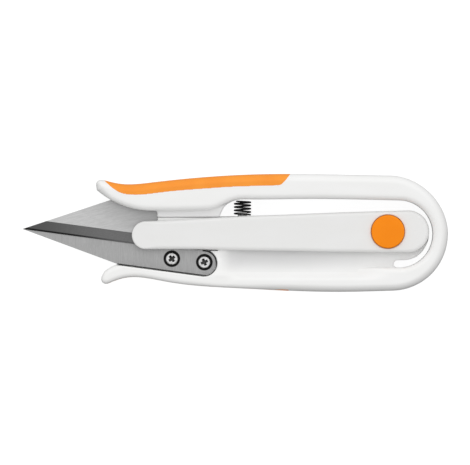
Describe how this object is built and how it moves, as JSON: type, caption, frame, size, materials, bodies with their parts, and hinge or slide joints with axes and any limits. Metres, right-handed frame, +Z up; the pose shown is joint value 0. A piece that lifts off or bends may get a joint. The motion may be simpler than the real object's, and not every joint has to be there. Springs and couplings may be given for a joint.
{
  "type": "thread snips",
  "caption": "Thread snips: two pointed steel blades on the arms of a springy U-shaped handle, crossing between guide bars with a round push-button lock.",
  "frame": {"origin": "centre of the bounding box on the surface the closed snips lie on", "axes": "+X from the blade tips towards the loop, +Y from the rear-blade arm to the front-blade arm, +Z up out of the front face"},
  "size_m": [0.127, 0.035, 0.0124],
  "materials": {
    "white_plastic": "satin moulded",
    "orange_grip": "soft matte",
    "orange_button": "satin",
    "blade_steel": "ground",
    "screw_steel": "bright",
    "spring_steel": "black"
  },
  "bodies": {
    "lower_arm": {"lower_handle": "white_plastic", "front_guide": "white_plastic", "rear_guide": "white_plastic", "lower_grip": "orange_grip", "lock_clip": "screw_steel", "lower_blade": "blade_steel", "lower_screw_front": "screw_steel", "lower_screw_back": "screw_steel", "return_spring": "spring_steel"},
    "upper_arm": {"upper_handle": "white_plastic", "upper_grip": "orange_grip", "upper_blade": "blade_steel", "upper_screw_front": "screw_steel", "upper_screw_back": "screw_steel"},
    "lock_button": {"lock_button_front": "orange_button", "lock_button_rear": "orange_button", "lock_stem": "screw_steel"}
  },
  "joints": [
    {"name": "loop_flex", "type": "hinge", "parent": "lower_arm", "child": "upper_arm", "pos_m": [0.0635, 0, 0.0062], "axis": [0, 0, -1], "range_deg": [0, 6], "deforming": ["return_spring"]},
    {"name": "lock_push", "type": "slide", "parent": "lower_arm", "child": "lock_button", "axis": [0, 0, 1], "range_m": [-0.001, 0]}
  ]
}
